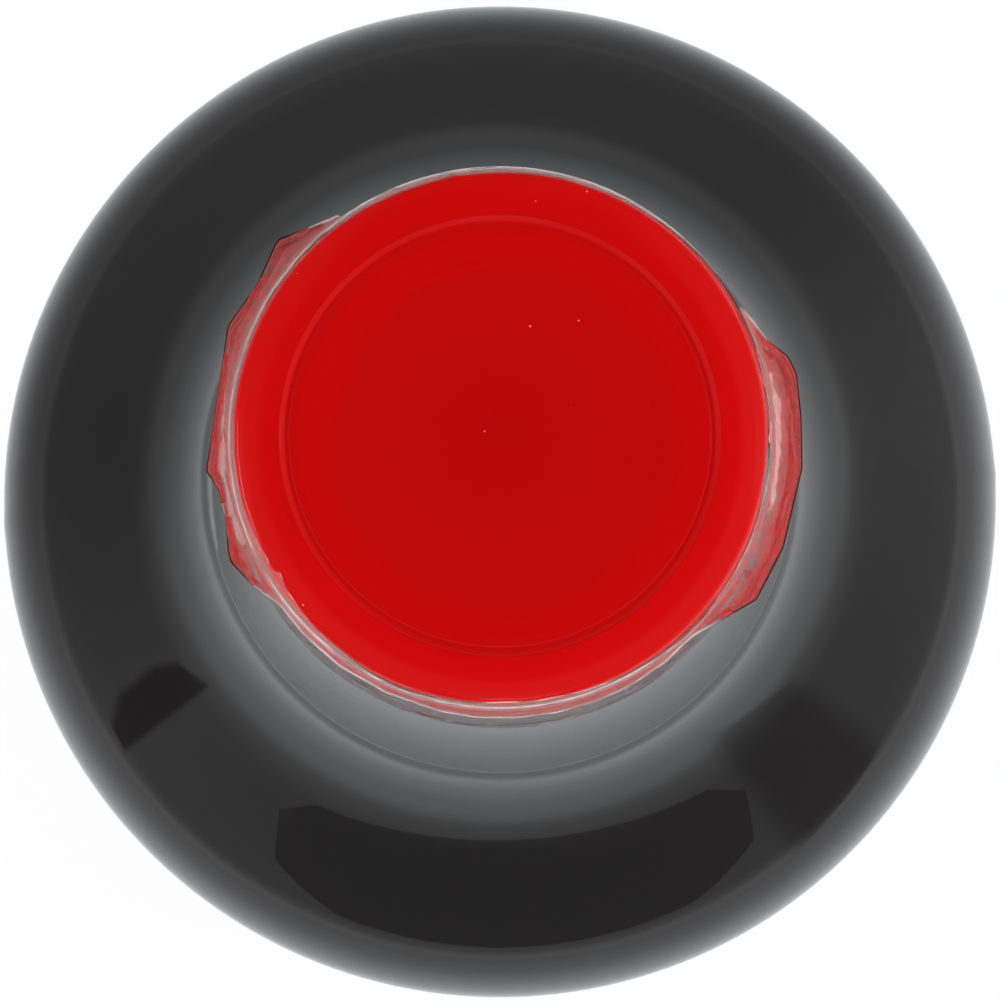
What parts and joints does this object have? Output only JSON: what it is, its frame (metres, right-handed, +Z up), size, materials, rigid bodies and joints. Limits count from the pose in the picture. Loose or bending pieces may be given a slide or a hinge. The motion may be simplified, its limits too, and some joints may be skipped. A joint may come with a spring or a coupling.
{
  "type": "bottle of soy sauce",
  "caption": "Round glass bottle filled with dark soy sauce to the foot of its neck, with a ribbed red screw cap sealed under a clear shrink band with two loose sides.",
  "frame": {"origin": "centre of the base, on the plane that the bottle stands on", "axes": "+Z up along the axis of the bottle, -Y the front, +X to the right of the front view"},
  "size_m": [0.07, 0.07, 0.2216],
  "materials": {
    "clear_glass": "clear moulded glass, faint green tint, smooth",
    "dark_sauce": "nearly black brown liquid, reddish where thin",
    "red_plastic": "bright red moulded plastic, glossy, slightly worn",
    "clear_film": "clear thin heat-shrunk film, creased at two sides"
  },
  "bodies": {
    "root": {"bottle": "clear_glass", "soy_sauce": "dark_sauce", "screw_cap": "red_plastic", "shrink_band": "clear_film"}
  },
  "joints": []
}
